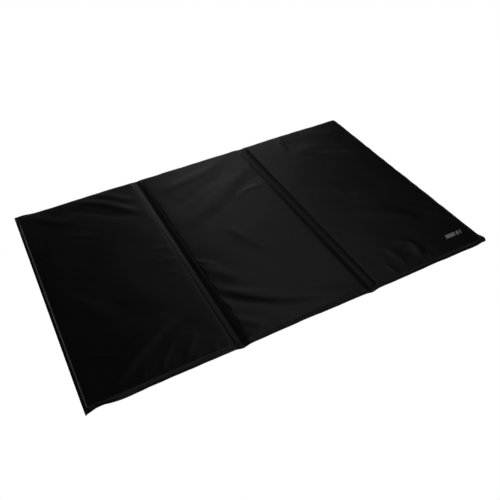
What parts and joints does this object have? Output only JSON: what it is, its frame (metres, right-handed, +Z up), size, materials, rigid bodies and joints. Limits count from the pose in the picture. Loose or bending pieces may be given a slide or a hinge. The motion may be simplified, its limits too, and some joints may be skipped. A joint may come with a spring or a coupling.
{
  "type": "folding gym mat",
  "caption": "Tri-fold exercise mat: foam panels in a sewn black leather-look cover with a flat stitched flange, joined by flexible webs that fold the panels over each other.",
  "frame": {"origin": "on the floor under the centre of the opened mat", "axes": "+X along the length towards panel 3, +Y across the mat to the back, +Z up through its thickness"},
  "size_m": [1.83, 1.22, 0.032],
  "materials": {
    "cover": "satin",
    "foam": "matte",
    "thread": "matte",
    "print": "satin"
  },
  "bodies": {
    "panel_2": {"foam_core_2": "foam", "top_cover_2": "cover", "bottom_cover_2": "cover", "flange_needle_thread_2_front": "thread", "flange_needle_thread_2_back": "thread", "flange_bobbin_thread_2_front": "thread", "flange_bobbin_thread_2_back": "thread"},
    "fold_web_1": {"top_fold_web_1": "cover", "bottom_fold_web_1": "cover", "fold_1_left_needle_thread": "thread", "fold_1_left_bobbin_thread": "thread", "fold_1_right_needle_thread": "thread", "fold_1_right_bobbin_thread": "thread"},
    "fold_web_2": {"top_fold_web_2": "cover", "bottom_fold_web_2": "cover", "fold_2_left_needle_thread": "thread", "fold_2_left_bobbin_thread": "thread", "fold_2_right_needle_thread": "thread", "fold_2_right_bobbin_thread": "thread"},
    "panel_1": {"foam_core_1": "foam", "top_cover_1": "cover", "bottom_cover_1": "cover", "flange_needle_thread_1": "thread", "flange_bobbin_thread_1": "thread"},
    "panel_3": {"foam_core_3": "foam", "top_cover_3": "cover", "bottom_cover_3": "cover", "flange_needle_thread_3": "thread", "flange_bobbin_thread_3": "thread", "printed_mark": "print"}
  },
  "joints": [
    {"name": "fold_1", "type": "hinge", "parent": "panel_2", "child": "fold_web_1", "pos_m": [-0.283, 0, 0.01575], "axis": [0, 1, 0], "range_deg": [0, 90]},
    {"name": "fold_1_outer", "type": "hinge", "parent": "fold_web_1", "child": "panel_1", "pos_m": [-0.317, 0, 0.01575], "axis": [0, 1, 0], "range_deg": [0, 90]},
    {"name": "fold_2", "type": "hinge", "parent": "panel_2", "child": "fold_web_2", "pos_m": [0.283, 0, 0.01575], "axis": [0, 1, 0], "range_deg": [0, 90]},
    {"name": "fold_2_outer", "type": "hinge", "parent": "fold_web_2", "child": "panel_3", "pos_m": [0.317, 0, 0.01575], "axis": [0, 1, 0], "range_deg": [0, 90]}
  ],
  "couplings": [
    {"joint": "fold_1_outer", "follows": "fold_1", "ratio": 1},
    {"joint": "fold_2_outer", "follows": "fold_2", "ratio": 1}
  ]
}
